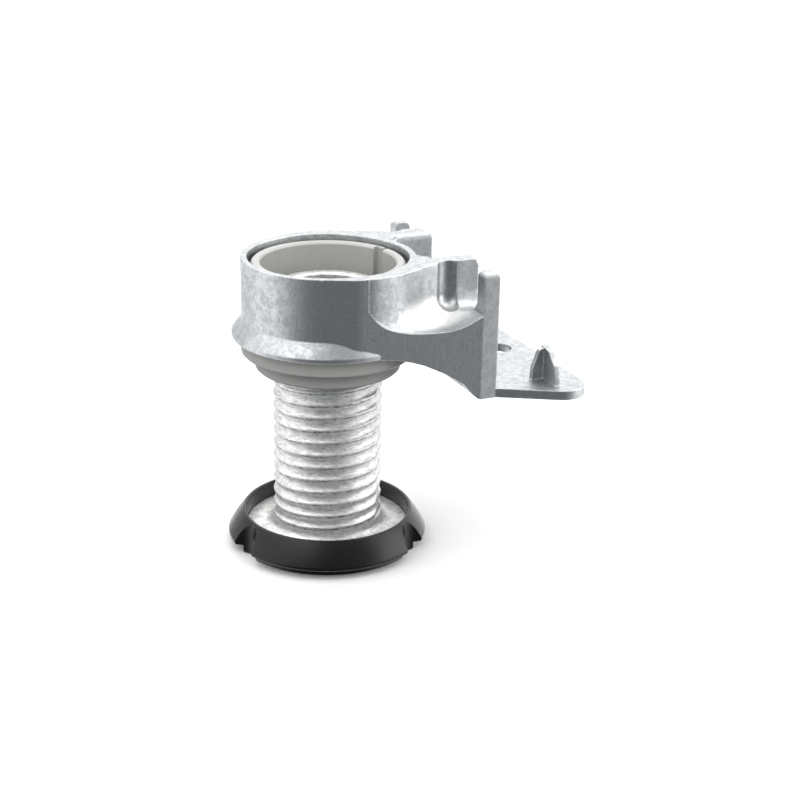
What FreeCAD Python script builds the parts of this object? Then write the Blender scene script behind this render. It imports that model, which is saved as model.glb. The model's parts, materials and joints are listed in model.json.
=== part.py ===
"""Adjustable cabinet leg: a die-cast screw-on bracket with a ring, a split grey
sleeve nut seated in the ring, a threaded zinc leg tube with a round foot disc,
and a black cap snapped under the disc.

Millimetres. The origin is on the leg axis at the underside of the cap, +Z is up
and +X points to the flange that lies against the cabinet panel.
"""
import math
import os

import FreeCAD
import Part

V = FreeCAD.Vector

# Leg tube.
THREAD_R = 12.5            # crest radius
THREAD_PITCH = 3.0         # one start, right hand
THREAD_DEPTH = 0.5
THREAD_LAND = 0.5          # width of the crest
THREAD_CLEAR = 2.7         # middle of the first groove over the disc, on the +X side
THREAD_MOUTHS = (0.12, 0.15, 0.18, 0.09)   # groove cutter beyond the crests, tried in turn
TUBE_H = 59.9              # underside of the disc to the top of the tube
TUBE_BORE_R = 7.4
TUBE_BORE_FLOOR = 3.4      # metal under the bore, disc included
TUBE_EDGE = 0.5
TUBE_FLARE_R = 2.2         # fillet between disc and tube
DISC_R = 19.0
DISC_T = 2.4
DISC_EDGE = 0.3
PARTING_AZ = (-36.0, 144.0)
PARTING_CUT = 0.45         # how far the parting flats cut into the crests

# Foot cap, built round the disc.
CAP_H = 8.0
CAP_FLOOR = 2.0            # the disc rests on it
CAP_DISC_PLAY = 0.3        # all round the disc
CAP_SNAP_LIFT = 0.1        # disc to the wall that holds it down
CAP_SNAP_OVERHANG = 0.2
CAP_RIM_WALL = 0.65        # rim outside the lip that holds the disc
CAP_SKIRT_OUT = 3.35       # skirt beyond the rim
CAP_SKIRT_LIP = 0.8        # upright edge of the skirt
CAP_BULGE = 0.1            # how far the cone stands out of a straight line
CAP_BASE_IN = 1.8          # base band back from the skirt
CAP_BASE_H = 2.1
CAP_EDGE = 0.12
CAP_NOTCH_R = 3.9          # upright scoops in the side of the cap
CAP_NOTCH_AZ = (-50.0, 70.0, 190.0)
CAP_NOTCH_SKIN = 0.15      # the scoops stay this far outside the rim

# Sleeve nut, built round the leg.
NUT_SEAT_Z = 50.6          # top of the upper flange, where the ring sits
NUT_RUN_PLAY = 0.1         # crests to the bore that runs on them
NUT_RUN_TOP = 5.0          # height of that bore over the seat
NUT_ROOM = 2.65            # crests to the open sleeve above
NUT_WALL = 2.1
NUT_TOP_DROP = 1.15        # sleeve below the top of the ring
NUT_LAND_H = 3.6           # stretch that centres the sleeve in the ring
NUT_LAND_PLAY = 0.1
NUT_TIER1_OUT = 2.35       # upper flange beyond the sleeve
NUT_TIER1_H = 3.9
NUT_TIER2_IN = 0.75        # lower flange inside the sleeve's outside
NUT_TIER2_H = 3.7
NUT_SPLIT_AZ = 15.0
NUT_SPLIT_W = 0.9
NUT_LAP_W = 2.2            # recess inside the sleeve beside the split
NUT_LAP_DEPTH = 0.9
NUT_EDGE = 0.45

# Bracket: ring.
RING_ROOM = 0.85           # sleeve to ring
RING_WALL = 1.4
RING_H = 18.25
RING_EDGE = 0.45
BEAD_OUT = 2.2             # sloping bead beyond the ring
BEAD_EDGE_H = 1.1
BEAD_CREASE_H = 4.25

# Bracket: webs, arms and flange.
WEB_TANGENT_AZ = 115.0     # where the webs leave the ring
WEB_BEND_X = -1.9          # where they turn towards the flange
WEB_BEND_OUT = 1.15        # how far outside the ring
WEB_BEND_R = 9.0
WEB_T = 2.4
WEB_FOOT_X = 3.3           # the lower edge of the web starts to fall here
FLANGE_GAP = 6.9           # ring to flange
FLANGE_T = 3.8
FLANGE_HALF = 24.7
FLANGE_DROP = 11.1         # flange below the seat
FLANGE_MIDDLE_DROP = 0.6   # its top between the arms, below the seat
UPRIGHT_W = 3.2
UPRIGHT_DROP = 0.45        # uprights below the top of the ring
UPRIGHT_EDGE_R = 1.2
ARM_IN_Y = 9.2
ARM_FLOOR_H = 3.0          # underside of the arms over the seat
ARM_CORNER_R = 2.5
ARM_EDGE_R = 1.6
BLOCK_T = 1.5              # blocks at the arm ends stand in from the flange
BLOCK_EDGE_R = 0.8
SLOT_R = 3.55
SLOT_DEPTH = 6.75          # top of the ring to the centre of the slot's round end
GROOVE_R = 3.0
GROOVE_IN = 1.9            # groove centre beyond the wall of the arm
GROOVE_BACK = 4.0          # groove centre before the flange
GROOVE_DEPTH = 7.75        # top of the ring to the centre of its round end
SCOOP_X = 0.7

# Stations of a scoop, from SCOOP_X to the flange. Share of the way, wall behind the
# web's face, then the foot of the wall and the lip as shares of the ring's height.
SCOOP = (
    (0.0000, 0.050, 0.6247, 0.6192),
    (0.0195, 0.050, 0.6247, 0.5699),
    (0.0623, 0.151, 0.6247, 0.4932),
    (0.1401, 0.637, 0.6247, 0.4000),
    (0.2257, 1.402, 0.6247, 0.3479),
    (0.3230, 2.510, 0.6247, 0.3123),
    (0.4864, 5.061, 0.6247, 0.2888),
    (0.6187, 7.248, 0.6247, 0.2866),
    (0.7510, 9.234, 0.6247, 0.3036),
    (0.8794, 9.856, 0.6247, 0.3616),
    (1.0000, 10.300, 0.6247, 0.4493),
)
# Lower edge of a web, from WEB_FOOT_X to the flange: share of the way, share of the drop.
WEB_FOOT = (
    (0.0000, 0.0000),
    (0.1948, 0.0450),
    (0.3160, 0.1036),
    (0.4372, 0.1892),
    (0.6494, 0.4054),
    (0.8268, 0.6396),
    (0.9307, 0.8919),
    (0.9697, 0.9730),
    (1.0000, 1.0000),
)

# Bracket: plate and claws.
PLATE_T = 2.1
PLATE_REACH = 20.9         # beyond the flange
PLATE_FLARE = 29.2         # side edges, degrees off the X axis
PLATE_CORNER_R = 5.7
PLATE_HOLE_R = 3.6
PLATE_HOLE_IN = 7.6        # hole centre from the outer edge
CLAW_IN_X = 6.7            # claw corner from the outer edge
CLAW_IN_Y = 3.2            # claw corner inside the flange's end
CLAW_T = 1.2
# along each wall from the corner, height over the plate
CLAW_LONG = ((0.0, 7.7), (3.5, 7.1), (4.9, 5.5), (6.1, 4.3), (6.8, 1.85), (7.0, 0.0))
CLAW_SHORT = ((0.0, 7.7), (2.3, 6.8), (3.8, 2.7), (4.0, 0.0))

# Sizes that follow.
TOP_Z = NUT_SEAT_Z + RING_H
NUT_IN_R = THREAD_R + NUT_ROOM
NUT_R = NUT_IN_R + NUT_WALL
RING_BORE_R = NUT_R + RING_ROOM
RING_R = RING_BORE_R + RING_WALL
BEAD_R = RING_R + BEAD_OUT
FLANGE_X0 = RING_R + FLANGE_GAP
FLANGE_X1 = FLANGE_X0 + FLANGE_T
FLANGE_BOTTOM_Z = NUT_SEAT_Z - FLANGE_DROP
SLOT_Y = FLANGE_HALF - UPRIGHT_W - SLOT_R
BLOCK_Y = SLOT_Y - SLOT_R
PLATE_X1 = FLANGE_X1 + PLATE_REACH


def polar(radius, azimuth, z=0.0):
    """Point at a radius and an azimuth in degrees."""
    angle = math.radians(azimuth)
    return V(radius * math.cos(angle), radius * math.sin(angle), z)


def turned(edges):
    """Solid of revolution about Z from edges that close in the XZ plane."""
    face = Part.Face(Part.Wire(Part.__sortEdges__(edges)))
    return face.revolve(V(0, 0, 0), V(0, 0, 1), 360.0)


def line(a, b):
    """Straight edge between two (r, z) points of the XZ plane."""
    return Part.makeLine(V(a[0], 0, a[1]), V(b[0], 0, b[1]))


def lines(points):
    """Straight edges through (r, z) points."""
    return [line(a, b) for a, b in zip(points, points[1:])]


def arc(a, b, c):
    """Arc through three (r, z) points of the XZ plane."""
    return Part.Arc(V(a[0], 0, a[1]), V(b[0], 0, b[1]), V(c[0], 0, c[1])).toShape()


def prism(points, z0, z1):
    """Upright prism from a closed outline of (x, y) points."""
    outline = [V(x, y, z0) for x, y in points]
    face = Part.Face(Part.makePolygon(outline + outline[:1]))
    return face.extrude(V(0, 0, z1 - z0))


def side_prism(points, half):
    """Prism along Y, equal on both sides, from a closed outline of (x, z) points."""
    outline = [V(x, -half, z) for x, z in points]
    face = Part.Face(Part.makePolygon(outline + outline[:1]))
    return face.extrude(V(0, 2.0 * half, 0))


def pair(shape):
    """The shape and its mirror image across the XZ plane."""
    return [shape, shape.mirror(V(0, 0, 0), V(0, 1, 0))]


def rounded(shape, radius, chosen):
    """Fillet the chosen edges."""
    edges = [edge for edge in shape.Edges if chosen(edge)]
    return shape.makeFillet(radius, edges)


def upright(edge):
    """True for a straight edge along Z."""
    box = edge.BoundBox
    return box.ZLength > 1.0 and box.XLength < 1e-6 and box.YLength < 1e-6


# Foot cap.

def foot_cap():
    """Black cap with three upright scoops in its side."""
    cavity_r = DISC_R + CAP_DISC_PLAY
    lip_r = DISC_R - CAP_SNAP_OVERHANG
    lip_z = CAP_FLOOR + DISC_T + CAP_SNAP_LIFT
    rim_in_r = lip_r + 0.2
    rim_r = cavity_r + CAP_RIM_WALL - 0.2
    skirt_r = rim_r + CAP_SKIRT_OUT
    skirt_z = CAP_BASE_H + CAP_SKIRT_LIP
    base_r = skirt_r - CAP_BASE_IN
    cone_foot = (skirt_r, skirt_z)
    cone_top = (rim_r, CAP_H - CAP_EDGE)
    cone_mid = (0.5 * (skirt_r + rim_r) + CAP_BULGE, 0.5 * (skirt_z + CAP_H) + CAP_BULGE)
    edges = lines([
        (0.0, 0.0),
        (base_r - 0.4, 0.0),
        (base_r, 0.4),
        (base_r, CAP_BASE_H - 0.3),
        (skirt_r - 0.2, CAP_BASE_H),
        (skirt_r, CAP_BASE_H + 0.2),
        cone_foot,
    ])
    edges.append(arc(cone_foot, cone_mid, cone_top))
    edges += lines([
        cone_top,
        (rim_r - CAP_EDGE, CAP_H),
        (rim_in_r + CAP_EDGE, CAP_H),
        (rim_in_r, CAP_H - CAP_EDGE),
        (lip_r, lip_z + 0.4),
        (lip_r, lip_z),
        (cavity_r, lip_z),
        (cavity_r, CAP_FLOOR),
        (0.0, CAP_FLOOR),
        (0.0, 0.0),
    ])
    body = turned(edges)
    centre_r = rim_r + CAP_NOTCH_SKIN + CAP_NOTCH_R
    for azimuth in CAP_NOTCH_AZ:
        foot = polar(centre_r, azimuth, -CAP_H)
        body = body.cut(Part.makeCylinder(CAP_NOTCH_R, 3.0 * CAP_H, foot))
    return body


# Leg tube.

def tube_blank():
    """Disc, flare and plain tube before the thread is cut."""
    z0 = CAP_FLOOR
    top = z0 + DISC_T
    end = z0 + TUBE_H
    bore_floor = z0 + TUBE_BORE_FLOOR
    flare_r = THREAD_R + TUBE_FLARE_R
    bend = TUBE_FLARE_R * (1.0 - math.sqrt(0.5))
    edges = lines([
        (0.0, z0),
        (DISC_R - DISC_EDGE, z0),
        (DISC_R, z0 + DISC_EDGE),
        (DISC_R, top - DISC_EDGE),
        (DISC_R - DISC_EDGE, top),
        (flare_r, top),
    ])
    edges.append(arc((flare_r, top), (THREAD_R + bend, top + bend),
                     (THREAD_R, top + TUBE_FLARE_R)))
    edges += lines([
        (THREAD_R, top + TUBE_FLARE_R),
        (THREAD_R, end - TUBE_EDGE),
        (THREAD_R - TUBE_EDGE, end),
        (TUBE_BORE_R + TUBE_EDGE, end),
        (TUBE_BORE_R, end - TUBE_EDGE),
        (TUBE_BORE_R, bore_floor),
        (0.0, bore_floor),
        (0.0, z0),
    ])
    return turned(edges)


def thread_groove(start_z, mouth_out):
    """Round-bottomed groove that winds up the tube from start_z, open beyond the crests."""
    half = 0.5 * (THREAD_PITCH - THREAD_LAND)
    groove_r = (half * half + THREAD_DEPTH * THREAD_DEPTH) / (2.0 * THREAD_DEPTH)
    centre_x = THREAD_R - THREAD_DEPTH + groove_r
    open_x = THREAD_R + mouth_out
    reach = math.sqrt(groove_r ** 2 - (centre_x - open_x) ** 2)
    bottom = arc((open_x, start_z - reach), (centre_x - groove_r, start_z),
                 (open_x, start_z + reach))
    mouth = line((open_x, start_z + reach), (open_x, start_z - reach))
    height = CAP_FLOOR + TUBE_H + THREAD_PITCH - start_z
    path = Part.makeHelix(THREAD_PITCH, height, THREAD_R)
    path.translate(V(0, 0, start_z))
    return Part.Wire(path).makePipeShell([Part.Wire([bottom, mouth])], True, True)


def leg_tube():
    """Threaded hollow leg with its foot disc and the flats at its parting line."""
    body = tube_blank()
    start_z = CAP_FLOOR + DISC_T + THREAD_CLEAR
    for azimuth in PARTING_AZ:
        flat = Part.makeBox(THREAD_R, THREAD_R, TUBE_H,
                            V(THREAD_R - PARTING_CUT, -0.5 * THREAD_R, start_z))
        flat.rotate(V(0, 0, 0), V(0, 0, 1), azimuth)
        body = body.cut(flat)
    turns = (CAP_FLOOR + TUBE_H - start_z) / THREAD_PITCH
    section = (THREAD_PITCH - THREAD_LAND) * THREAD_DEPTH / 1.5
    expected = turns * 2.0 * math.pi * THREAD_R * section
    for mouth_out in THREAD_MOUTHS:
        threaded = body.cut(thread_groove(start_z, mouth_out))
        if threaded.isValid() and body.Volume - threaded.Volume > 0.6 * expected:
            return threaded
    raise RuntimeError("leg_tube: the thread was not cut")


# Sleeve nut.

def nut_sleeve():
    """Split sleeve with two flanges; the ring sits on the upper one."""
    bore_r = THREAD_R + NUT_RUN_PLAY
    land_r = RING_BORE_R - NUT_LAND_PLAY
    tier1_r = NUT_R + NUT_TIER1_OUT
    tier2_r = NUT_R - NUT_TIER2_IN
    z1 = NUT_SEAT_Z - NUT_TIER1_H
    z0 = z1 - NUT_TIER2_H
    land_z = NUT_SEAT_Z + NUT_LAND_H
    run_z = NUT_SEAT_Z + NUT_RUN_TOP
    top = TOP_Z - NUT_TOP_DROP
    e = NUT_EDGE
    body = turned(lines([
        (bore_r, z0 + e),
        (bore_r + e, z0),
        (tier2_r - e, z0),
        (tier2_r, z0 + e),
        (tier2_r, z1),
        (tier1_r - e, z1),
        (tier1_r, z1 + e),
        (tier1_r, NUT_SEAT_Z - 0.3),
        (tier1_r - 0.3, NUT_SEAT_Z),
        (land_r, NUT_SEAT_Z),
        (land_r, land_z),
        (NUT_R, land_z + RING_ROOM),
        (NUT_R, top - e),
        (NUT_R - e, top),
        (NUT_IN_R + e, top),
        (NUT_IN_R, top - e),
        (NUT_IN_R, run_z + NUT_ROOM),
        (bore_r, run_z),
        (bore_r, z0 + e),
    ]))
    split_z = land_z + RING_ROOM
    height = top - split_z + 1.0
    split = Part.makeBox(3.0 * NUT_WALL, NUT_SPLIT_W, height,
                         V(NUT_IN_R - NUT_WALL, -0.5 * NUT_SPLIT_W, split_z))
    lap = Part.makeBox(NUT_WALL + NUT_LAP_DEPTH, NUT_LAP_W, height,
                       V(NUT_IN_R - NUT_WALL, 0.4 * NUT_SPLIT_W, split_z + NUT_ROOM))
    for cutter in (split, lap):
        cutter.rotate(V(0, 0, 0), V(0, 0, 1), NUT_SPLIT_AZ)
        body = body.cut(cutter)
    return body


# Bracket.

def bend_point(inset=0.0):
    """Where the +Y web turns towards the flange."""
    return (WEB_BEND_X, RING_R + WEB_BEND_OUT - inset)


def web_y(x):
    """Outside face of the web at x, on the +Y side."""
    x0, y0 = bend_point()
    return y0 + (FLANGE_HALF - y0) * (x - x0) / (FLANGE_X0 - x0)


def web_outline(inset):
    """Plan outline between the outside faces of the webs, inset all round."""
    start = polar(RING_R - inset, WEB_TANGENT_AZ)
    side = [(start.x, start.y), bend_point(inset), (FLANGE_X0, FLANGE_HALF - inset)]
    return side + [(x, -y) for x, y in reversed(side)]


def web_block():
    """Block between the web faces, cut along the lower edges of the webs."""
    block = prism(web_outline(0.0), FLANGE_BOTTOM_Z, TOP_Z)
    block = rounded(block, WEB_BEND_R, lambda edge: upright(edge)
                    and abs(edge.BoundBox.XMin - WEB_BEND_X) < 1e-6)
    run = FLANGE_X0 - WEB_FOOT_X
    below = FLANGE_BOTTOM_Z - FLANGE_DROP
    edge = [(WEB_FOOT_X + share * run, NUT_SEAT_Z - fall * FLANGE_DROP)
            for share, fall in WEB_FOOT]
    edge += [(FLANGE_X0, below), (-2.0 * RING_R, below), (-2.0 * RING_R, NUT_SEAT_Z)]
    return block.cut(side_prism(edge, 2.0 * FLANGE_HALF))


def under_hollow():
    """Space between the webs under the arms, outside the ring."""
    outline = web_outline(WEB_T)
    low = prism(outline, FLANGE_BOTTOM_Z - PLATE_T, NUT_SEAT_Z)
    high = prism(outline, NUT_SEAT_Z, NUT_SEAT_Z + ARM_FLOOR_H)
    core = Part.makeCylinder(RING_R, RING_H, V(0, 0, NUT_SEAT_Z))
    return low.fuse(high.cut(core))


def scoop():
    """Cutter for the scoop beside the +Y arm: upright wall, curved floor, open side."""
    far = FLANGE_HALF + FLANGE_GAP
    top = TOP_Z + FLANGE_T
    hold = 0.5523
    wires = []
    for share, inset, wall_share, lip_share in SCOOP:
        x = SCOOP_X + share * (FLANGE_X0 - SCOOP_X)
        edge = web_y(x)
        wall = edge - inset
        foot = NUT_SEAT_Z + wall_share * RING_H
        lip = NUT_SEAT_Z + lip_share * RING_H
        curve = Part.BezierCurve()
        curve.setPoles([
            V(x, wall, foot),
            V(x, wall, foot + hold * (lip - foot)),
            V(x, edge - hold * inset, lip),
            V(x, edge, lip),
        ])
        wires.append(Part.Wire([
            Part.makeLine(V(x, wall, top), V(x, wall, foot)),
            curve.toShape(),
            Part.makeLine(V(x, edge, lip), V(x, far, lip)),
            Part.makeLine(V(x, far, lip), V(x, far, top)),
            Part.makeLine(V(x, far, top), V(x, wall, top)),
        ]))
    return Part.makeLoft(wires, True, False)


def side_slot():
    """Upright U-slot through the flange beside the +Y arm."""
    z = TOP_Z - SLOT_DEPTH
    x = FLANGE_X0 - 2.0 * BLOCK_T
    depth = FLANGE_X1 + BLOCK_T - x
    box = Part.makeBox(depth, 2.0 * SLOT_R, RING_H, V(x, SLOT_Y - SLOT_R, z))
    return box.fuse(Part.makeCylinder(SLOT_R, depth, V(x, SLOT_Y, z), V(1, 0, 0)))


def side_groove():
    """Upright round groove in the +Y arm before its end block."""
    x = FLANGE_X0 - GROOVE_BACK
    y = BLOCK_Y + GROOVE_IN
    z = TOP_Z - GROOVE_DEPTH
    shaft = Part.makeCylinder(GROOVE_R, RING_H, V(x, y, z))
    return shaft.fuse(Part.makeSphere(GROOVE_R, V(x, y, z)))


def middle_gap():
    """Gap between the arms, from the wall of the ring out through the flange."""
    x1 = FLANGE_X1 + FLANGE_T
    z0 = NUT_SEAT_Z - FLANGE_MIDDLE_DROP
    gap = prism([(0.0, -ARM_IN_Y), (x1, -ARM_IN_Y), (x1, ARM_IN_Y), (0.0, ARM_IN_Y)],
                z0, TOP_Z + FLANGE_T)
    gap = gap.cut(Part.makeCylinder(RING_R, 3.0 * RING_H, V(0, 0, z0 - RING_H)))
    return rounded(gap, ARM_CORNER_R, lambda edge: upright(edge)
                   and edge.BoundBox.XMax < RING_R)


def arm_edge():
    """Cutter that rounds the top edge of the +Y arm along the gap."""
    x0 = RING_R + 0.2 * ARM_CORNER_R
    length = FLANGE_X1 + FLANGE_T - x0
    corner = Part.makeBox(length, ARM_EDGE_R, ARM_EDGE_R, V(x0, ARM_IN_Y, TOP_Z - ARM_EDGE_R))
    rod = Part.makeCylinder(ARM_EDGE_R, length,
                            V(x0, ARM_IN_Y + ARM_EDGE_R, TOP_Z - ARM_EDGE_R), V(1, 0, 0))
    return corner.cut(rod)


def flange():
    """Upright flange; the blocks at the arm ends are part of it."""
    top = TOP_Z - UPRIGHT_DROP
    body = Part.makeBox(FLANGE_T, 2.0 * FLANGE_HALF, top - FLANGE_BOTTOM_Z,
                        V(FLANGE_X0, -FLANGE_HALF, FLANGE_BOTTOM_Z))
    body = rounded(body, UPRIGHT_EDGE_R, lambda edge: edge.BoundBox.ZMin > top - 1e-6)
    floor = NUT_SEAT_Z + ARM_FLOOR_H
    block = Part.makeBox(FLANGE_T + BLOCK_T, 2.0 * BLOCK_Y, TOP_Z - floor,
                         V(FLANGE_X0 - BLOCK_T, -BLOCK_Y, floor))
    block = rounded(block, BLOCK_EDGE_R, lambda edge: edge.BoundBox.XMin > FLANGE_X1 - 1e-6
                    and edge.BoundBox.ZMax > floor + 1.0)
    return body.fuse(block)


def claw():
    """Upright claw of two walls at a right angle, on the +Y side of the plate."""
    x = PLATE_X1 - CLAW_IN_X
    y = FLANGE_HALF - CLAW_IN_Y
    z = FLANGE_BOTTOM_Z + PLATE_T
    base = z - 0.5 * PLATE_T
    outline = [V(x, y, base)] + [V(x, y + d, z + h) for d, h in CLAW_LONG]
    outline.append(V(x, y + CLAW_LONG[-1][0], base))
    long_wall = Part.Face(Part.makePolygon(outline + outline[:1])).extrude(V(-CLAW_T, 0, 0))
    outline = [V(x, y, base)] + [V(x - d, y, z + h) for d, h in CLAW_SHORT]
    outline.append(V(x - CLAW_SHORT[-1][0], y, base))
    short_wall = Part.Face(Part.makePolygon(outline + outline[:1])).extrude(V(0, CLAW_T, 0))
    return long_wall.fuse(short_wall)


def plate():
    """Bottom plate with flared sides and one round hole."""
    slope = math.tan(math.radians(PLATE_FLARE))
    corner_y = FLANGE_HALF + slope * PLATE_REACH
    z = FLANGE_BOTTOM_Z
    body = prism([
        (FLANGE_X0, -FLANGE_HALF), (FLANGE_X1, -FLANGE_HALF), (PLATE_X1, -corner_y),
        (PLATE_X1, corner_y), (FLANGE_X1, FLANGE_HALF), (FLANGE_X0, FLANGE_HALF),
    ], z, z + PLATE_T)
    body = rounded(body, PLATE_CORNER_R, lambda edge: upright(edge)
                   and edge.BoundBox.XMin > PLATE_X1 - 1e-6)
    hole = Part.makeCylinder(PLATE_HOLE_R, 3.0 * PLATE_T,
                             V(PLATE_X1 - PLATE_HOLE_IN, 0, z - PLATE_T))
    return body.cut(hole)


def ring():
    """Ring with the sloping bead round its foot."""
    crease = NUT_SEAT_Z + BEAD_CREASE_H
    return turned(lines([
        (RING_BORE_R, NUT_SEAT_Z),
        (BEAD_R - 0.3, NUT_SEAT_Z),
        (BEAD_R, NUT_SEAT_Z + 0.3),
        (BEAD_R, NUT_SEAT_Z + BEAD_EDGE_H),
        (RING_R, crease),
        (RING_R, TOP_Z - RING_EDGE),
        (RING_R - RING_EDGE, TOP_Z),
        (RING_BORE_R + 0.15, TOP_Z),
        (RING_BORE_R, TOP_Z - 0.15),
        (RING_BORE_R, NUT_SEAT_Z),
    ]))


def bracket():
    """One-piece casting: ring, arms, webs, flange, plate and claws."""
    body = web_block().cut(under_hollow())
    for cutter in pair(scoop()):
        body = body.cut(cutter)
    body = body.fuse(flange())
    body = body.cut(middle_gap())
    for cutter in pair(side_slot()) + pair(side_groove()) + pair(arm_edge()):
        body = body.cut(cutter)
    inside = Part.makeCylinder(RING_BORE_R + 0.5 * RING_WALL, 3.0 * RING_H,
                               V(0, 0, NUT_SEAT_Z - RING_H))
    body = body.cut(inside).fuse(ring()).fuse(plate())
    for piece in pair(claw()):
        body = body.fuse(piece)
    return body.removeSplitter()


def sound(name, shape):
    """The single valid solid of a piece, or an error that names the piece."""
    if len(shape.Solids) != 1 or not shape.isValid():
        raise RuntimeError("%s: %d solids, valid %s" % (name, len(shape.Solids), shape.isValid()))
    return shape.Solids[0]


def main():
    """Write one STEP file per piece."""
    os.makedirs("parts", exist_ok=True)
    pieces = {
        "foot_cap": foot_cap(),
        "leg_tube": leg_tube(),
        "nut_sleeve": nut_sleeve(),
        "bracket": bracket(),
    }
    for name, shape in pieces.items():
        sound(name, shape).exportStep("parts/%s.step" % name)


main()
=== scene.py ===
import json
import logging
import math
from dataclasses import dataclass, field
from enum import Enum

import bpy
from mathutils import Matrix, Vector

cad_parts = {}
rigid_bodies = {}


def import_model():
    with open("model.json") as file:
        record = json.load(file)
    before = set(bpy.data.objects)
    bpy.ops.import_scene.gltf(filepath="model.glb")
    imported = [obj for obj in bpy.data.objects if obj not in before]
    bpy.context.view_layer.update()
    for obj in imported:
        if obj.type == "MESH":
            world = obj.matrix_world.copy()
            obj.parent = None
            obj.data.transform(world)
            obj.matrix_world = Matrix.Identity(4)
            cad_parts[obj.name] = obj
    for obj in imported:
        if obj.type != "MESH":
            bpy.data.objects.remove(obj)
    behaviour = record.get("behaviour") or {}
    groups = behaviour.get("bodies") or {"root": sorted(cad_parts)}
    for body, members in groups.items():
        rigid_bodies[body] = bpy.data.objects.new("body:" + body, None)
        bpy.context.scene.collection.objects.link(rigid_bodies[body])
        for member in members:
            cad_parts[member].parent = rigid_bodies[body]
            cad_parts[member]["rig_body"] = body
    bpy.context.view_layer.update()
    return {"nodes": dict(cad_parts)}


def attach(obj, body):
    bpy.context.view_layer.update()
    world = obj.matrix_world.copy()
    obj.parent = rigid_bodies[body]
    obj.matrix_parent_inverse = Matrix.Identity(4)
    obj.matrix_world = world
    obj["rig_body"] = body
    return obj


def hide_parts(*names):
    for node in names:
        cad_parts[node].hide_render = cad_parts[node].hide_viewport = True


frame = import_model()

MM = 0.001
log = logging.getLogger("cabinet_leg")

Colour = tuple[float, float, float]
Point = tuple[float, float, float]


class Piece(Enum):
    """The separate pieces of the leg, by the name of their node."""

    BRACKET = "bracket"
    LEG = "leg_tube"
    NUT = "nut_sleeve"
    CAP = "foot_cap"


class ShaderTree:
    """Adds nodes to the node tree of a material, a group or a world.

    Attributes:
        tree: the node tree that is filled.
        column: how many nodes have been placed, from left to right.
    """

    NODE_SPACING = 220
    MIX_COLOURS = (6, 7)
    MIX_RESULT = 2

    def __init__(self, tree: bpy.types.NodeTree) -> None:
        """Take over a tree.

        Args:
            tree: the node tree to fill.
        """
        self.tree = tree
        self.column = 0

    def feed(self, target: bpy.types.NodeSocket, value: object) -> None:
        """Give an input a constant, or link another node's socket to it.

        Args:
            target: the input.
            value: a socket, a number or a vector.
        """
        if isinstance(value, bpy.types.NodeSocket):
            self.tree.links.new(value, target)
        else:
            target.default_value = value

    def add(self, kind: str, **values: object) -> bpy.types.Node:
        """Add one node and set its properties and inputs.

        Args:
            kind: Blender's type name of the node.
            values: node properties by name, or constants and sockets by the name
                of their input, with spaces written as underscores.

        Returns:
            The new node.
        """
        node = self.tree.nodes.new(kind)
        node.location = (self.column * self.NODE_SPACING, 0)
        self.column += 1
        for key, value in values.items():
            if hasattr(node, key):
                setattr(node, key, value)
            else:
                self.feed(node.inputs[key.replace("_", " ")], value)
        return node

    def maths(self, operation: str, first: object, second: object = 0.0,
              clamp: bool = False) -> bpy.types.NodeSocket:
        """Add a Math node.

        Args:
            operation: Blender's name of the operation.
            first: a socket or a number.
            second: a socket or a number.
            clamp: keep the result between 0 and 1.

        Returns:
            The result's socket.
        """
        node = self.add("ShaderNodeMath", operation=operation, use_clamp=clamp)
        self.feed(node.inputs[0], first)
        self.feed(node.inputs[1], second)
        return node.outputs[0]

    def vectors(self, operation: str, first: bpy.types.NodeSocket,
                second: object = None) -> bpy.types.Node:
        """Add a Vector Math node.

        Args:
            operation: Blender's name of the operation.
            first: a socket.
            second: a socket or a vector, where the operation needs one.

        Returns:
            The new node, whose result is its Vector or its Value.
        """
        node = self.add("ShaderNodeVectorMath", operation=operation)
        self.feed(node.inputs[0], first)
        if second is not None:
            self.feed(node.inputs[1], second)
        return node

    def spread(self, value: bpy.types.NodeSocket, low: float, high: float,
               start: float = 0.0, end: float = 1.0) -> bpy.types.NodeSocket:
        """Map a value's range smoothly to another range, kept inside it.

        Args:
            value: the socket to map.
            low: the result at start.
            high: the result at end.
            start: the value that gives low.
            end: the value that gives high.

        Returns:
            The result's socket.
        """
        node = self.add("ShaderNodeMapRange", interpolation_type="SMOOTHSTEP",
                        Value=value, From_Min=start, From_Max=end, To_Min=low,
                        To_Max=high)
        return node.outputs["Result"]

    def blend(self, factor: bpy.types.NodeSocket, first: object,
              second: object) -> bpy.types.NodeSocket:
        """Mix two colours.

        Args:
            factor: the share of the second colour.
            first: a colour or a socket.
            second: a colour or a socket.

        Returns:
            The mixed colour's socket.
        """
        node = self.add("ShaderNodeMix", data_type="RGBA", blend_type="MIX")
        self.feed(node.inputs["Factor"], factor)
        for index, value in zip(self.MIX_COLOURS, (first, second)):
            opaque = value if isinstance(value, bpy.types.NodeSocket) else (*value, 1.0)
            self.feed(node.inputs[index], opaque)
        return node.outputs[self.MIX_RESULT]

    def place(self) -> bpy.types.NodeSocket:
        """Add the place of a point on its piece, in metres.

        Returns:
            The place's socket.
        """
        return self.add("ShaderNodeTexCoord").outputs["Object"]


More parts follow.
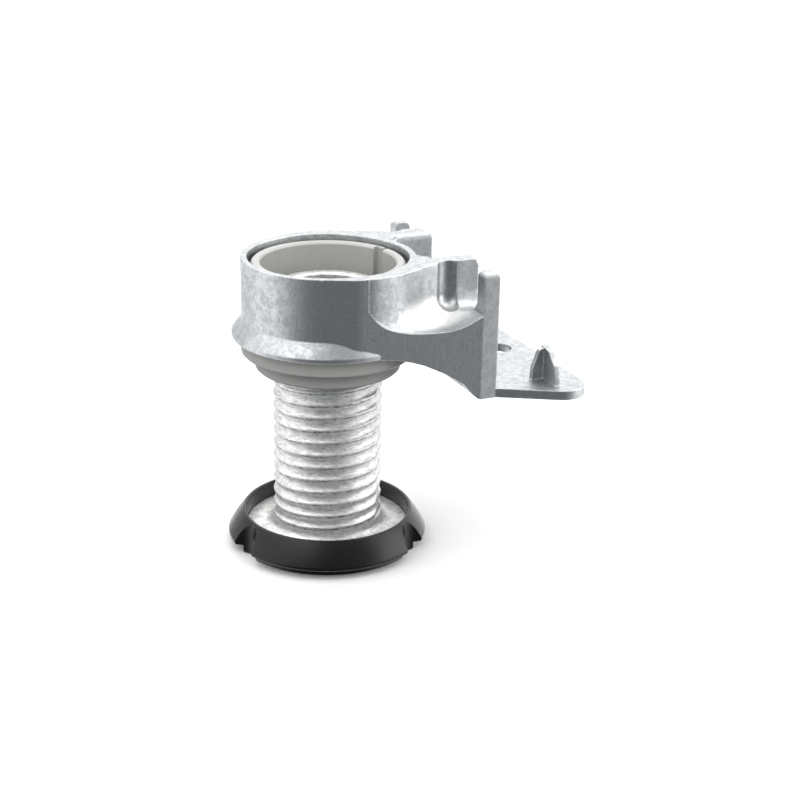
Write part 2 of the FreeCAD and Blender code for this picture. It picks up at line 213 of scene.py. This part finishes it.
class EffectGroup(ShaderTree):
    """A shader node group with named sockets.

    Attributes:
        start: the group's input node.
        end: the group's output node.
    """

    def __init__(self, name: str, inputs: dict[str, float],
                 outputs: dict[str, str]) -> None:
        """Start a group.

        Args:
            name: the group's name.
            inputs: float inputs and their defaults.
            outputs: outputs and their socket types.
        """
        super().__init__(bpy.data.node_groups.new(name, "ShaderNodeTree"))
        sockets = self.tree.interface
        for label, value in inputs.items():
            socket = sockets.new_socket(label, in_out="INPUT",
                                        socket_type="NodeSocketFloat")
            socket.default_value = value
        for label, kind in outputs.items():
            sockets.new_socket(label, in_out="OUTPUT", socket_type=kind)
        self.start = self.add("NodeGroupInput")
        self.end = self.add("NodeGroupOutput")

    def given(self, name: str) -> bpy.types.NodeSocket:
        """Find one of the group's inputs.

        Args:
            name: the input's name.

        Returns:
            The socket that carries it inside the group.
        """
        return self.start.outputs[name]

    def give(self, name: str, value: bpy.types.NodeSocket) -> None:
        """Send a result out of the group.

        Args:
            name: the output's name.
            value: the socket with the result.
        """
        self.feed(self.end.inputs[name], value)


class Effects:
    """The shader node groups that the finishes share, each built once.

    Attributes:
        clouds: soft patches, as a Mask.
        grain: unevenness of the skin, as a Height.
        edges: worn edges, as a Mask and a Normal.
    """

    BROAD_SHARE = 0.68
    FINE_SHARE = 0.32
    CLOUD_GAIN = 4.0
    HALF = 0.5

    def __init__(self) -> None:
        """Build every group."""
        self.clouds = self.build_clouds()
        self.grain = self.build_grain()
        self.edges = self.build_edges()

    @classmethod
    def build_clouds(cls) -> bpy.types.NodeTree:
        """Soft cloudy patches, as tumbling leaves them on a casting.

        Returns:
            A group with a Mask from 0 to 1.
        """
        group = EffectGroup(
            "Cloudy patches",
            {"Scale": 200.0, "Fine Scale": 900.0, "Contrast": 1.0},
            {"Mask": "NodeSocketFloat"})
        place = group.place()
        broad = group.add("ShaderNodeTexNoise", Vector=place, Detail=5.0,
                          Scale=group.given("Scale"), Roughness=0.62, Distortion=0.6)
        fine = group.add("ShaderNodeTexNoise", Vector=place, Detail=3.0,
                         Scale=group.given("Fine Scale"), Roughness=0.6,
                         Distortion=0.2)
        large = group.maths("MULTIPLY", broad.outputs["Fac"], cls.BROAD_SHARE)
        small = group.maths("MULTIPLY", fine.outputs["Fac"], cls.FINE_SHARE)
        total = group.maths("ADD", large, small)
        centred = group.maths("SUBTRACT", total, cls.HALF)
        pulled = group.maths("MULTIPLY", centred, group.given("Contrast"))
        gained = group.maths("MULTIPLY", pulled, cls.CLOUD_GAIN)
        group.give("Mask", group.maths("ADD", gained, cls.HALF, clamp=True))
        return group.tree

    @staticmethod
    def build_grain() -> bpy.types.NodeTree:
        """Fine unevenness of a cast or moulded skin.

        Returns:
            A group with a Height of pits and waves.
        """
        group = EffectGroup(
            "Cast skin", {"Scale": 2500.0, "Wave Scale": 260.0, "Wave Share": 0.5},
            {"Height": "NodeSocketFloat"})
        place = group.place()
        pits = group.add("ShaderNodeTexNoise", Vector=place, Detail=4.0,
                         Scale=group.given("Scale"), Roughness=0.55)
        waves = group.add("ShaderNodeTexNoise", Vector=place, Detail=2.0,
                          Scale=group.given("Wave Scale"), Roughness=0.5)
        lifted = group.maths("MULTIPLY", waves.outputs["Fac"],
                             group.given("Wave Share"))
        group.give("Height", group.maths("ADD", pits.outputs["Fac"], lifted))
        return group.tree

    @staticmethod
    def build_edges() -> bpy.types.NodeTree:
        """Worn, softened edges.

        Returns:
            A group with a Mask that is 1 on edges and a Normal that rounds them.
        """
        group = EffectGroup(
            "Softened edges", {"Radius": 0.0003, "Width": 0.2},
            {"Mask": "NodeSocketFloat", "Normal": "NodeSocketVector"})
        bevel = group.add("ShaderNodeBevel", samples=6, Radius=group.given("Radius"))
        flat = group.add("ShaderNodeNewGeometry")
        rounded = bevel.outputs["Normal"]
        dot = group.vectors("DOT_PRODUCT", rounded, flat.outputs["Normal"])
        away = group.maths("SUBTRACT", 1.0, dot.outputs["Value"])
        group.give("Mask", group.maths("DIVIDE", away, group.given("Width"),
                                       clamp=True))
        group.give("Normal", rounded)
        return group.tree


@dataclass(frozen=True)
class ThreadShadeLines:
    """Painted shade: dark flecked lines under the thread's crests, in the grooves where
    shade falls; and streaks round the tube.

    Attributes:
        pitch: the thread's pitch.
        groove_z: a height where the groove's middle crosses azimuth 0.
        below: how far the line lies under the crest, in pitches.
        half_width: half the line's width, in pitches.
        start_z: the height where the thread begins.
        depth: how strongly the lines cover the metal.
        shade_colour: the lines' colour.
        fleck_scale: the scale of the noise that breaks the lines up.
        fleck_range: the noise values between which a fleck fades in.
        fleck_least: how much of a line stays between flecks.
        streak_scale: the scale of the streaks' noise.
        streak_height: how much flatter than round the streaks are.
        streak_range: the noise values between which a streak fades in.
        streak_share: how strongly the streaks cover the metal.
        streak_colour: the streaks' colour.
    """

    pitch: float = 3.0 * MM
    groove_z: float = 7.1 * MM
    below: float = 0.09
    half_width: float = 0.10
    start_z: float = 6.5 * MM
    depth: float = 0.95
    shade_colour: Colour = (0.02, 0.02, 0.019)
    fleck_scale: float = 700.0
    fleck_range: tuple[float, float] = (0.42, 0.62)
    fleck_least: float = 0.25
    streak_scale: float = 520.0
    streak_height: float = 5.0
    streak_range: tuple[float, float] = (0.44, 0.62)
    streak_share: float = 0.42
    streak_colour: Colour = (0.20, 0.20, 0.196)

    def streaks(self, tree: ShaderTree) -> bpy.types.NodeSocket:
        """Add fine streaks that run round the tube, as the casting die leaves them.

        Args:
            tree: the material's tree.

        Returns:
            A socket from 0 to the streaks' share.
        """
        squeezed = tree.vectors("MULTIPLY", tree.place(),
                                (1.0, 1.0, self.streak_height))
        noise = tree.add("ShaderNodeTexNoise", Vector=squeezed.outputs["Vector"],
                         Scale=self.streak_scale, Detail=5.0, Roughness=0.7)
        shown = tree.spread(noise.outputs["Fac"], 0.0, 1.0, *self.streak_range)
        return tree.maths("MULTIPLY", shown, self.streak_share)

    def lines(self, tree: ShaderTree) -> bpy.types.NodeSocket:
        """Add the painted shade: dark lines that follow the thread under its crests.

        Args:
            tree: the material's tree.

        Returns:
            A socket from 0 to the lines' depth.
        """
        place = tree.place()
        split = tree.add("ShaderNodeSeparateXYZ", Vector=place)
        height = split.outputs["Z"]
        angle = tree.maths("ARCTAN2", split.outputs["Y"], split.outputs["X"])
        turn = tree.maths("DIVIDE", angle, 2.0 * math.pi)
        lifted = tree.maths("SUBTRACT", height, self.groove_z)
        pitches = tree.maths("DIVIDE", lifted, self.pitch)
        phase = tree.maths("FRACT", tree.maths("SUBTRACT", pitches, turn))
        offset = tree.maths("SUBTRACT", phase, 0.5 - self.below)
        away = tree.maths("ABSOLUTE", offset)
        line = tree.spread(away, 1.0, 0.0, 0.0, self.half_width)
        noise = tree.add("ShaderNodeTexNoise", Vector=place, Scale=self.fleck_scale,
                         Detail=4.0, Roughness=0.65)
        flecks = tree.spread(noise.outputs["Fac"], self.fleck_least, 1.0,
                             *self.fleck_range)
        shown = tree.maths("MULTIPLY", line, flecks)
        above = tree.maths("GREATER_THAN", height, self.start_z)
        return tree.maths("MULTIPLY", tree.maths("MULTIPLY", shown, above), self.depth)

    def paint(self, tree: ShaderTree,
              colour: bpy.types.NodeSocket) -> bpy.types.NodeSocket:
        """Lay the streaks and the lines of painted shade over a colour.

        Args:
            tree: the material's tree.
            colour: the colour under them.

        Returns:
            The new colour's socket.
        """
        streaked = tree.blend(self.streaks(tree), colour, self.streak_colour)
        # Painted shade: the dark lines under the crests stand in for shade in the
        # thread's grooves.
        return tree.blend(self.lines(tree), streaked, self.shade_colour)


@dataclass(frozen=True)
class ScoopPaintedLight:
    """Painted light: a bright patch painted on the floors of the two scoops, standing
    in for the bright reflection there.

    Attributes:
        middle: the middle of the painted light on the left scoop.
        half: its half sizes.
        core: the share of its reach inside which the painted light is full.
        colour: its colour.
        share: how strongly it covers the metal.
    """

    middle: Point = (16.5 * MM, 17.4 * MM, 57.6 * MM)
    half: Point = (13.5 * MM, 5.0 * MM, 5.4 * MM)
    core: float = 0.55
    colour: Colour = (0.84, 0.84, 0.835)
    share: float = 0.9

    def mask(self, tree: ShaderTree) -> bpy.types.NodeSocket:
        """Add the nodes that find the scoops' floors on both sides.

        Args:
            tree: the material's tree.

        Returns:
            A socket from 0 to the skin's share.
        """
        split = tree.add("ShaderNodeSeparateXYZ", Vector=tree.place())
        folded = tree.add("ShaderNodeCombineXYZ", X=split.outputs["X"],
                          Y=tree.maths("ABSOLUTE", split.outputs["Y"]),
                          Z=split.outputs["Z"])
        shifted = tree.vectors("SUBTRACT", folded.outputs["Vector"], self.middle)
        scaled = tree.vectors("DIVIDE", shifted.outputs["Vector"], self.half)
        away = tree.vectors("LENGTH", scaled.outputs["Vector"])
        return tree.spread(away.outputs["Value"], self.share, 0.0, self.core, 1.0)

    def paint(self, tree: ShaderTree,
              colour: bpy.types.NodeSocket) -> bpy.types.NodeSocket:
        """Lay the painted light over a colour.

        Args:
            tree: the material's tree.
            colour: the colour under it.

        Returns:
            The new colour's socket.
        """
        # Painted light: the scoops' floors are made brighter, standing in for a
        # reflection.
        return tree.blend(self.mask(tree), colour, self.colour)


@dataclass(frozen=True)
class Finish:
    """One material: a metal casting or a moulded plastic.

    Attributes:
        name: the material's name.
        dark: the colour between the cloudy patches.
        light: the colour of the patches.
        edge: the colour of worn edges.
        metallic: 1 for a bare metal, 0 for a plastic.
        smooth: the roughness of the patches.
        rough: the roughness between them.
        cloud_scale: the patches' scale.
        cloud_contrast: the patches' contrast.
        grain_scale: the scale of the skin's pits.
        wave_scale: the scale of the skin's waves.
        wave_share: the waves' height against the pits'.
        bump_height: the pits' height.
        edge_radius: the radius to which edges are softened.
        edge_share: how strongly worn edges cover the colour.
        gloss: the specular level of a plastic.
        overlays: marks, painted shade and painted light that lie over the colour, in
            their order.
        fine_ratio: how much finer the small patches are than the broad ones.
    """

    name: str
    dark: Colour
    light: Colour
    edge: Colour
    metallic: float
    smooth: float
    rough: float
    cloud_scale: float
    cloud_contrast: float
    grain_scale: float
    wave_scale: float
    wave_share: float
    bump_height: float
    edge_radius: float
    edge_share: float
    gloss: float = 0.5
    overlays: tuple[ScoopPaintedLight | ThreadShadeLines, ...] = ()
    fine_ratio: float = 4.3

    def build(self, effects: Effects) -> bpy.types.Material:
        """Make the material.

        Args:
            effects: the shared node groups.

        Returns:
            The new material.
        """
        material = bpy.data.materials.new(self.name)
        material.use_nodes = True
        material.node_tree.nodes.clear()
        tree = ShaderTree(material.node_tree)
        clouds = tree.add("ShaderNodeGroup", node_tree=effects.clouds,
                          Scale=self.cloud_scale, Contrast=self.cloud_contrast,
                          Fine_Scale=self.cloud_scale * self.fine_ratio)
        grain = tree.add("ShaderNodeGroup", node_tree=effects.grain,
                         Scale=self.grain_scale, Wave_Scale=self.wave_scale,
                         Wave_Share=self.wave_share)
        edges = tree.add("ShaderNodeGroup", node_tree=effects.edges,
                         Radius=self.edge_radius)
        worn = tree.maths("MULTIPLY", edges.outputs["Mask"], self.edge_share)
        colour = tree.blend(clouds.outputs["Mask"], self.dark, self.light)
        colour = tree.blend(worn, colour, self.edge)
        for overlay in self.overlays:
            colour = overlay.paint(tree, colour)
        rough = tree.spread(clouds.outputs["Mask"], self.rough, self.smooth)
        bump = tree.add("ShaderNodeBump", Strength=1.0, Distance=self.bump_height,
                        Height=grain.outputs["Height"],
                        Normal=edges.outputs["Normal"])
        shader = tree.add("ShaderNodeBsdfPrincipled", Metallic=self.metallic,
                          Specular_IOR_Level=self.gloss, Base_Color=colour,
                          Roughness=rough, Normal=bump.outputs["Normal"])
        tree.add("ShaderNodeOutputMaterial", Surface=shader.outputs["BSDF"])
        return material


# The tumbled zinc carries painted light on the floors of the scoops.
CAST_ZINC = Finish(
    name="tumbled zinc casting", dark=(0.42, 0.438, 0.45), light=(0.60, 0.612, 0.62),
    edge=(0.80, 0.80, 0.80), metallic=1.0, smooth=0.32, rough=0.46,
    cloud_scale=640.0, cloud_contrast=1.25, grain_scale=1700.0, wave_scale=420.0,
    wave_share=1.1, bump_height=0.045 * MM, edge_radius=0.45 * MM, edge_share=0.6,
    overlays=(ScoopPaintedLight(),))

# The bright zinc carries painted shade under the thread's crests.
BRIGHT_ZINC = Finish(
    name="bright zinc casting", dark=(0.70, 0.70, 0.69), light=(0.88, 0.88, 0.87),
    edge=(0.92, 0.92, 0.91), metallic=0.84, smooth=0.40, rough=0.52,
    cloud_scale=800.0, cloud_contrast=0.9, grain_scale=1500.0, wave_scale=420.0,
    wave_share=0.9, bump_height=0.04 * MM, edge_radius=0.2 * MM, edge_share=0.5,
    overlays=(ThreadShadeLines(),))

GREY_PLASTIC = Finish(
    name="grey moulded plastic", dark=(0.30, 0.304, 0.292),
    light=(0.335, 0.339, 0.327), edge=(0.62, 0.62, 0.61), metallic=0.0,
    smooth=0.42, rough=0.5, cloud_scale=60.0, cloud_contrast=0.6,
    grain_scale=2600.0, wave_scale=200.0, wave_share=0.4, bump_height=0.02 * MM,
    edge_radius=0.3 * MM, edge_share=0.35)

DARK_PLASTIC = Finish(
    name="black moulded plastic", dark=(0.0036, 0.0022, 0.0025),
    light=(0.0052, 0.0036, 0.0039), edge=(0.040, 0.037, 0.037), metallic=0.0,
    smooth=0.22, rough=0.28, gloss=0.34, cloud_scale=90.0, cloud_contrast=0.8,
    grain_scale=2400.0, wave_scale=240.0, wave_share=0.6, bump_height=0.03 * MM,
    edge_radius=0.3 * MM, edge_share=0.35)


@dataclass
class CabinetLeg:
    """Dresses the pieces of the leg with their finishes.

    Attributes:
        effects: the shared node groups.
        finishes: the finish of each piece.
        bore_r: the radius of the tube's bore in the solid.
        bore_edge: the width of the bore's chamfer.
        open_bore_r: the radius of the bore as the photograph shows it.
        rim_r: the radius of the ring's outer wall.
        rim_low: the height where the rim's chamfer ends below.
        rim_top: the height to which that edge is lifted.
        near: how far a vertex may be from a size and still belong to it.
    """

    effects: Effects
    finishes: dict[Piece, Finish] = field(default_factory=lambda: {
        Piece.BRACKET: CAST_ZINC,
        Piece.LEG: BRIGHT_ZINC,
        Piece.NUT: GREY_PLASTIC,
        Piece.CAP: DARK_PLASTIC,
    })
    bore_r: float = 7.4 * MM
    bore_edge: float = 0.5 * MM
    open_bore_r: float = 9.9 * MM
    rim_r: float = 19.5 * MM
    rim_low: float = 68.4 * MM
    rim_top: float = 68.82 * MM
    near: float = 0.03 * MM

    @staticmethod
    def stand_in(piece: Piece, name: str, slot: str) -> bpy.types.Object:
        """Copy a CAD node into a piece of its own that stands for the node.

        Args:
            piece: the CAD node.
            name: the new piece's name.
            slot: the record's material slot, which is not used.

        Returns:
            The new piece.
        """
        solid = frame["nodes"][piece.value]
        shown = bpy.data.objects.new(name, solid.data.copy())
        bpy.context.collection.objects.link(shown)
        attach(shown, solid["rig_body"])
        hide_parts(piece.value)
        return shown

    def threaded_leg(self) -> bpy.types.Object:
        """Make the tube with a thinner wall, as the photograph shows it at the top.

        Returns:
            The piece that stands for the tube.
        """
        shown = self.stand_in(Piece.LEG, "threaded_leg", "bright_zinc")
        inner = self.bore_r - self.near
        outer = self.bore_r + self.bore_edge + self.near
        for vertex in shown.data.vertices:
            from_axis = math.hypot(vertex.co.x, vertex.co.y)
            if inner < from_axis < outer:
                wider = (from_axis + self.open_bore_r - self.bore_r) / from_axis
                vertex.co.x *= wider
                vertex.co.y *= wider
        shown.data.update()
        return shown

    def cast_bracket(self) -> bpy.types.Object:
        """Make the bracket with a rim whose edge runs on into the web.

        Returns:
            The piece that stands for the bracket.
        """
        shown = self.stand_in(Piece.BRACKET, "cast_bracket", "cast_zinc")
        for vertex in shown.data.vertices:
            from_axis = math.hypot(vertex.co.x, vertex.co.y)
            on_wall = abs(from_axis - self.rim_r) < self.near
            if on_wall and abs(vertex.co.z - self.rim_low) < self.near:
                vertex.co.z = self.rim_top
        shown.data.update()
        return shown

    def dress(self) -> None:
        """Make the pieces that stand for a node, and give every piece its material."""
        own = {Piece.LEG: self.threaded_leg(), Piece.BRACKET: self.cast_bracket()}
        for piece, finish in self.finishes.items():
            shown = own.get(piece, frame["nodes"][piece.value])
            shown.data.materials.clear()
            shown.data.materials.append(finish.build(self.effects))
            log.info("dressed %s as %s", piece.value, finish.name)


@dataclass(frozen=True)
class Softbox:
    """A square area light.

    Attributes:
        name: the light's name.
        place: where it stands.
        aim: the point that it faces.
        size: the length of its side.
        power: its power in watts.
    """

    name: str
    place: Point
    aim: Point
    size: float
    power: float

    def build(self) -> bpy.types.Object:
        """Make the light.

        Returns:
            The light object.
        """
        light = bpy.data.lights.new(self.name, "AREA")
        light.size = self.size
        light.energy = self.power
        holder = bpy.data.objects.new(self.name, light)
        bpy.context.collection.objects.link(holder)
        holder.location = self.place
        away = Vector(self.aim) - Vector(self.place)
        holder.rotation_euler = away.to_track_quat("-Z", "Y").to_euler()
        return holder


@dataclass(frozen=True)
class RoomBand:
    """A colour that the room takes on with height.

    Attributes:
        start: the direction's Z where the colour begins.
        end: the direction's Z above which it is full.
        colour: the colour.
    """

    start: float
    end: float
    colour: Colour


@dataclass(frozen=True)
class RoomPatch:
    """A round patch of the room that the metal reflects.

    Attributes:
        azimuth_deg: the azimuth of its middle.
        elevation_deg: the elevation of its middle.
        inner_deg: the angle from its middle inside which it is full.
        outer_deg: the angle from its middle where it ends.
        colour: its colour.
    """

    azimuth_deg: float
    elevation_deg: float
    inner_deg: float
    outer_deg: float
    colour: Colour

    def aim(self) -> Point:
        """Find the direction from the leg to the middle of the patch.

        Returns:
            The direction as a unit vector.
        """
        azimuth = math.radians(self.azimuth_deg)
        elevation = math.radians(self.elevation_deg)
        return (math.cos(azimuth) * math.cos(elevation),
                math.sin(azimuth) * math.cos(elevation), math.sin(elevation))

    def paint(self, tree: ShaderTree, view: bpy.types.NodeSocket,
              colour: bpy.types.NodeSocket) -> bpy.types.NodeSocket:
        """Lay the patch over the room's colour.

        Args:
            tree: the world's tree.
            view: the direction that is looked in.
            colour: the room's colour so far.

        Returns:
            The new colour's socket.
        """
        near = tree.vectors("DOT_PRODUCT", view, self.aim())
        share = tree.spread(near.outputs["Value"], 0.0, 1.0,
                            math.cos(math.radians(self.outer_deg)),
                            math.cos(math.radians(self.inner_deg)))
        return tree.blend(share, colour, self.colour)


@dataclass(frozen=True)
class Room:
    """The light all round the leg.

    Reflections see the bands and the patches, diffuse light comes from the soft
    bands, and the camera sees the backdrop.

    Attributes:
        backdrop: the colour behind the leg.
        low: the reflected colour straight below.
        bands: the reflected colours above it.
        patches: the patches that lie over the bands.
        soft_low: the diffuse light from straight below.
        soft_bands: the diffuse light above it.
    """

    backdrop: Colour = (1.0, 1.0, 1.0)
    low: Colour = (0.95, 0.96, 0.97)
    bands: tuple[RoomBand, ...] = (
        RoomBand(-0.8, -0.25, (1.45, 1.45, 1.45)),
        RoomBand(0.0, 0.4, (1.38, 1.38, 1.37)),
        RoomBand(0.5, 0.85, (2.55, 2.55, 2.54)),
    )
    patches: tuple[RoomPatch, ...] = (
        RoomPatch(0.0, 90.0, 16.0, 30.0, (1.25, 1.25, 1.25)),
        RoomPatch(64.0, 20.0, 14.0, 40.0, (1.26, 1.26, 1.26)),
        RoomPatch(112.0, 4.0, 10.0, 34.0, (0.86, 0.87, 0.88)),
        RoomPatch(168.0, 12.0, 16.0, 38.0, (1.50, 1.51, 1.52)),
        RoomPatch(-88.0, 42.0, 16.0, 40.0, (0.46, 0.47, 0.48)),
        RoomPatch(-112.0, -18.0, 26.0, 76.0, (0.165, 0.178, 0.188)),
        RoomPatch(-24.0, 16.0, 10.0, 28.0, (3.4, 3.4, 3.38)),
    )
    soft_low: Colour = (0.08, 0.08, 0.08)
    soft_bands: tuple[RoomBand, ...] = (
        RoomBand(-0.5, 0.1, (1.05, 1.05, 1.05)),
        RoomBand(0.2, 0.7, (2.80, 2.80, 2.79)),
    )

    @staticmethod
    def stack(tree: ShaderTree, height: bpy.types.NodeSocket, low: Colour,
              bands: tuple[RoomBand, ...]) -> bpy.types.NodeSocket:
        """Lay bands over one another, from the lowest up.

        Args:
            tree: the world's tree.
            height: the direction's Z.
            low: the colour under all bands.
            bands: the bands.

        Returns:
            The colour's socket.
        """
        colour: Colour | bpy.types.NodeSocket = low
        for band in bands:
            share = tree.spread(height, 0.0, 1.0, band.start, band.end)
            colour = tree.blend(share, colour, band.colour)
        return colour

    def build(self) -> None:
        """Make the world and set it as the scene's own."""
        world = bpy.data.worlds.new("studio")
        world.use_nodes = True
        world.node_tree.nodes.clear()
        tree = ShaderTree(world.node_tree)
        view = tree.add("ShaderNodeTexCoord").outputs["Generated"]
        height = tree.add("ShaderNodeSeparateXYZ", Vector=view).outputs["Z"]
        mirrored = self.stack(tree, height, self.low, self.bands)
        for patch in self.patches:
            mirrored = patch.paint(tree, view, mirrored)
        soft = self.stack(tree, height, self.soft_low, self.soft_bands)
        path = tree.add("ShaderNodeLightPath")
        shown = tree.blend(path.outputs["Is Diffuse Ray"], mirrored, soft)
        shown = tree.blend(path.outputs["Is Camera Ray"], shown, self.backdrop)
        back = tree.add("ShaderNodeBackground", Strength=1.0, Color=shown)
        tree.add("ShaderNodeOutputWorld", Surface=back.outputs["Background"])
        world.cycles.sampling_method = "NONE"
        bpy.context.scene.world = world


@dataclass
class Studio:
    """The camera, a pale floor, the room and a softbox.

    Attributes:
        camera_place: where the photograph was taken from.
        heading_deg: the camera's turn from +Y toward +X.
        pitch_deg: how far it looks down.
        roll_deg: its turn round its own axis.
        lens_mm: its focal length.
        sensor_mm: its sensor's width.
        clip_start: the nearest distance that it shows.
        floor_half: half the floor's side.
        floor_drop: the gap between the floor and the foot.
        floor_colour: the floor's colour.
        floor_roughness: the floor's roughness.
        room: the light all round.
        softbox: the light above.
    """

    camera_place: Point = (-130.15 * MM, -314.48 * MM, 164.49 * MM)
    heading_deg: float = 25.276
    pitch_deg: float = 20.884
    roll_deg: float = 1.201
    lens_mm: float = 71.36
    sensor_mm: float = 36.0
    clip_start: float = 10.0 * MM
    floor_half: float = 3.0
    floor_drop: float = 0.1 * MM
    floor_colour: Colour = (0.59, 0.59, 0.59)
    floor_roughness: float = 0.9
    room: Room = Room()
    softbox: Softbox = Softbox("high softbox", place=(0.40, 0.35, 0.75),
                               aim=(0.0, 0.0, 0.04), size=1.4, power=2.0)

    def camera(self) -> bpy.types.Object:
        """Make the camera and set it as the scene's own.

        Returns:
            The camera object.
        """
        heading = math.radians(self.heading_deg)
        pitch = math.radians(self.pitch_deg)
        roll = math.radians(self.roll_deg)
        ahead = Vector((math.sin(heading) * math.cos(pitch),
                        math.cos(heading) * math.cos(pitch), -math.sin(pitch)))
        level = Vector((math.cos(heading), -math.sin(heading), 0.0))
        upright = level.cross(ahead)
        right = math.cos(roll) * level + math.sin(roll) * upright
        up = math.cos(roll) * upright - math.sin(roll) * level
        data = bpy.data.cameras.new("photo camera")
        data.lens = self.lens_mm
        data.sensor_width = self.sensor_mm
        data.clip_start = self.clip_start
        shown = bpy.data.objects.new("photo camera", data)
        bpy.context.collection.objects.link(shown)
        turn = Matrix((right, up, -ahead)).transposed().to_4x4()
        shown.matrix_world = Matrix.Translation(self.camera_place) @ turn
        bpy.context.scene.camera = shown
        return shown

    def floor(self) -> bpy.types.Object:
        """Make the pale floor under the foot.

        The leg neither reflects it nor takes light from it, because the room's
        light stands for that already.

        Returns:
            The floor object.
        """
        half = self.floor_half
        mesh = bpy.data.meshes.new("floor")
        corners = [(-half, -half, 0.0), (half, -half, 0.0),
                   (half, half, 0.0), (-half, half, 0.0)]
        mesh.from_pydata(corners, [], [(0, 1, 2, 3)])
        shown = bpy.data.objects.new("floor", mesh)
        shown.location.z = -self.floor_drop
        bpy.context.collection.objects.link(shown)
        material = bpy.data.materials.new("pale floor")
        material.use_nodes = True
        shader = material.node_tree.nodes["Principled BSDF"]
        shader.inputs["Base Color"].default_value = (*self.floor_colour, 1.0)
        shader.inputs["Roughness"].default_value = self.floor_roughness
        mesh.materials.append(material)
        shown.visible_glossy = False
        shown.visible_diffuse = False
        return shown

    def build(self) -> None:
        """Make the whole studio."""
        bpy.context.scene.view_settings.view_transform = "Standard"
        self.camera()
        self.floor()
        self.room.build()
        self.softbox.build()


def main() -> None:
    """Dress the leg, then set up the studio round it."""
    logging.basicConfig(level=logging.INFO, format="%(name)s: %(message)s")
    CabinetLeg(Effects()).dress()
    Studio().build()


if __name__ == "__main__":
    main()
